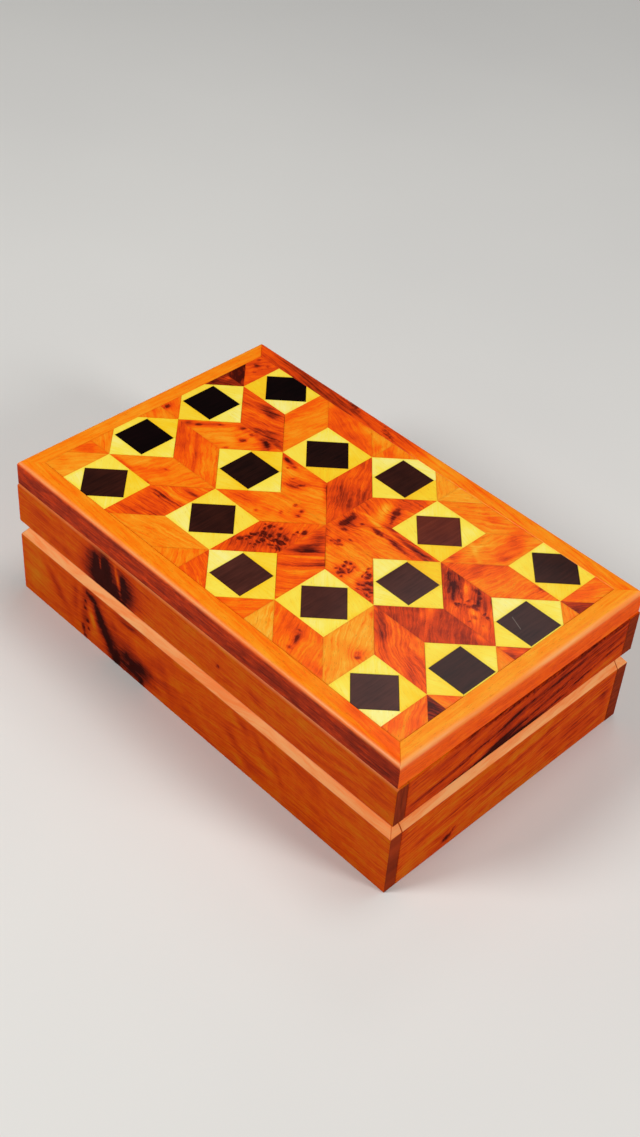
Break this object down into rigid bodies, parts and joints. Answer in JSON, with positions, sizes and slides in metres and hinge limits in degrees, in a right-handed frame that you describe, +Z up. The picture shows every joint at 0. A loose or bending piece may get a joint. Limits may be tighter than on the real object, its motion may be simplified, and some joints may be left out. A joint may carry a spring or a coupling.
{
  "type": "jewellery box",
  "caption": "Oblong wooden jewellery box with a hinged lid, an eight-pointed star marquetry top in a mitred rim, and a V groove round the seam.",
  "frame": {"origin": "middle of the underside", "axes": "+X along the front from its left end to its right end, +Y from the front to the hinged back, +Z up"},
  "size_m": [0.2, 0.125, 0.0635],
  "materials": {
    "case_thuya": "satin varnish, orange-brown grain with dark figure",
    "red_thuya": "satin varnish, dark red grain",
    "orange_thuya": "satin varnish, plain orange grain",
    "gold_thuya": "satin varnish, golden straight grain",
    "thuya_burl": "gloss varnish, burl tiles with dark eyes",
    "lemonwood": "gloss varnish, lemon-yellow fine grain",
    "dark_wood": "gloss varnish, nearly black",
    "pale_core_wood": "bare plain wood",
    "hinge_brass": "satin brass"
  },
  "bodies": {
    "base": {"base_front_board": "case_thuya", "base_back_board": "case_thuya", "base_left_board": "case_thuya", "base_right_board": "case_thuya", "base_bottom_panel": "pale_core_wood", "left_hinge_base_leaf": "hinge_brass", "left_hinge_base_screw_1": "hinge_brass", "left_hinge_base_screw_2": "hinge_brass", "left_hinge_pin": "hinge_brass", "right_hinge_base_leaf": "hinge_brass", "right_hinge_base_screw_1": "hinge_brass", "right_hinge_base_screw_2": "hinge_brass", "right_hinge_pin": "hinge_brass"},
    "lid": {"lid_front_board": "case_thuya", "lid_back_board": "case_thuya", "lid_left_board": "case_thuya", "lid_right_board": "case_thuya", "rim_front_rail": "red_thuya", "rim_back_rail": "red_thuya", "rim_left_rail": "orange_thuya", "rim_right_rail": "gold_thuya", "lid_panel": "thuya_burl", "yellow_square_01": "lemonwood", "dark_square_01": "dark_wood", "yellow_square_02": "lemonwood", "dark_square_02": "dark_wood", "yellow_square_03": "lemonwood", "dark_square_03": "dark_wood", "yellow_square_04": "lemonwood", "dark_square_04": "dark_wood", "yellow_square_05": "lemonwood", "dark_square_05": "dark_wood", "yellow_square_06": "lemonwood", "dark_square_06": "dark_wood", "yellow_square_07": "lemonwood", "dark_square_07": "dark_wood", "yellow_square_08": "lemonwood", "dark_square_08": "dark_wood", "yellow_square_09": "lemonwood", "dark_square_09": "dark_wood", "yellow_square_10": "lemonwood", "dark_square_10": "dark_wood", "yellow_square_11": "lemonwood", "dark_square_11": "dark_wood", "yellow_square_12": "lemonwood", "dark_square_12": "dark_wood", "yellow_square_13": "lemonwood", "dark_square_13": "dark_wood", "yellow_square_14": "lemonwood", "dark_square_14": "dark_wood", "yellow_square_15": "lemonwood", "dark_square_15": "dark_wood", "yellow_square_16": "lemonwood", "dark_square_16": "dark_wood", "left_hinge_lid_leaf": "hinge_brass", "left_hinge_lid_screw_1": "hinge_brass", "left_hinge_lid_screw_2": "hinge_brass", "right_hinge_lid_leaf": "hinge_brass", "right_hinge_lid_screw_1": "hinge_brass", "right_hinge_lid_screw_2": "hinge_brass"}
  },
  "joints": [
    {"name": "lid_hinge", "type": "hinge", "parent": "base", "child": "lid", "pos_m": [0, 0.0612, 0.03127], "axis": [-1, 0, 0], "range_deg": [0, 100]}
  ]
}
